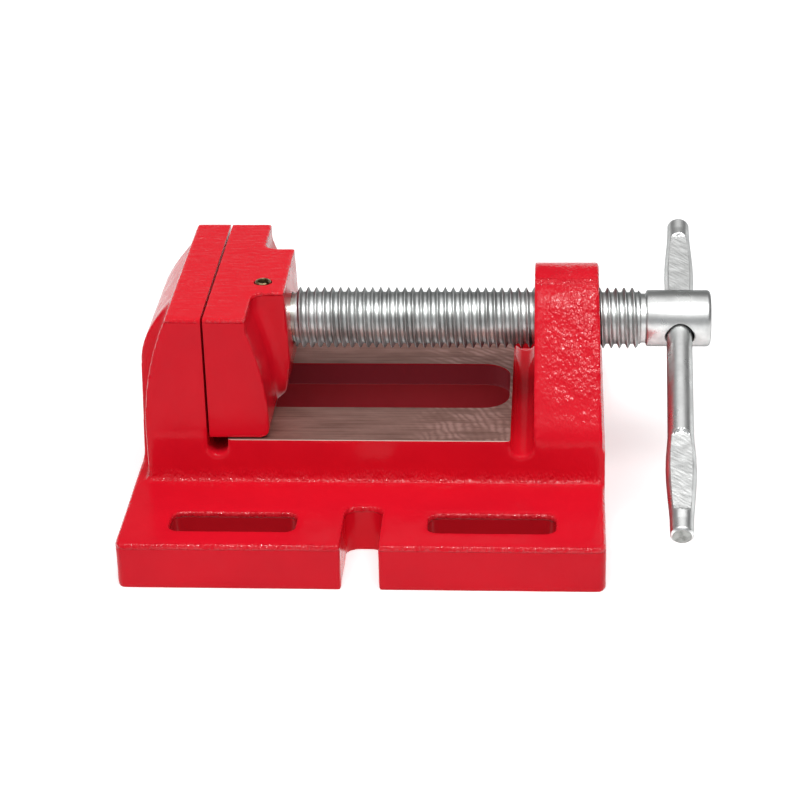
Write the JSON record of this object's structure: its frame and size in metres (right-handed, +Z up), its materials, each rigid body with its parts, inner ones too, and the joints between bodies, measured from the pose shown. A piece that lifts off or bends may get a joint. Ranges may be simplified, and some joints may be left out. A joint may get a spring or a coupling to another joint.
{
  "type": "drill press vise",
  "caption": "Low drill press vise: slotted cast base with a fixed jaw and a screw lug, a sliding jaw on flat ways, a threaded lead screw and a sliding tommy bar.",
  "frame": {"origin": "on the underside of the base, on the middle plane, straight below the fixed jaw's gripping face", "axes": "+X along the screw from the fixed jaw to the handle, +Y to the back, +Z up"},
  "size_m": [0.1778, 0.1677, 0.0701],
  "materials": {
    "red_enamel_body": "gloss enamel on rough casting",
    "red_enamel_jaw": "gloss enamel on rough casting",
    "zinc_screw": "zinc plated",
    "zinc_bar": "zinc plated, hammered ends",
    "pin_steel": "dull yellowish spring steel",
    "plate_steel": "plain steel",
    "bolt_zinc_front": "zinc plated",
    "bolt_zinc_back": "zinc plated",
    "washer_front": "dark spring steel",
    "washer_back": "dark spring steel"
  },
  "bodies": {
    "base": {"vise_body": "red_enamel_body"},
    "jaw": {"movable_jaw": "red_enamel_jaw", "retaining_pin": "pin_steel", "keeper_plate": "plate_steel", "keeper_bolt_front": "bolt_zinc_front", "keeper_bolt_back": "bolt_zinc_back", "spring_washer_front": "washer_front", "spring_washer_back": "washer_back"},
    "screw": {"lead_screw": "zinc_screw"},
    "handle": {"tommy_bar": "zinc_bar"}
  },
  "joints": [
    {"name": "jaw_slide", "type": "slide", "parent": "base", "child": "jaw", "axis": [1, 0, 0], "range_m": [-0.00064, 0.07367]},
    {"name": "screw_turn", "type": "hinge", "parent": "jaw", "child": "screw", "pos_m": [0.14488, 0, 0.0527], "axis": [1, 0, 0], "range_deg": [-90, 10440]},
    {"name": "handle_slide", "type": "slide", "parent": "screw", "child": "handle", "axis": [0.0227, 0.9508, 0.3089], "range_m": [0, 0.0478]}
  ],
  "couplings": [
    {"joint": "jaw_slide", "follows": "screw_turn", "m_per_rad": 0.00040425}
  ]
}
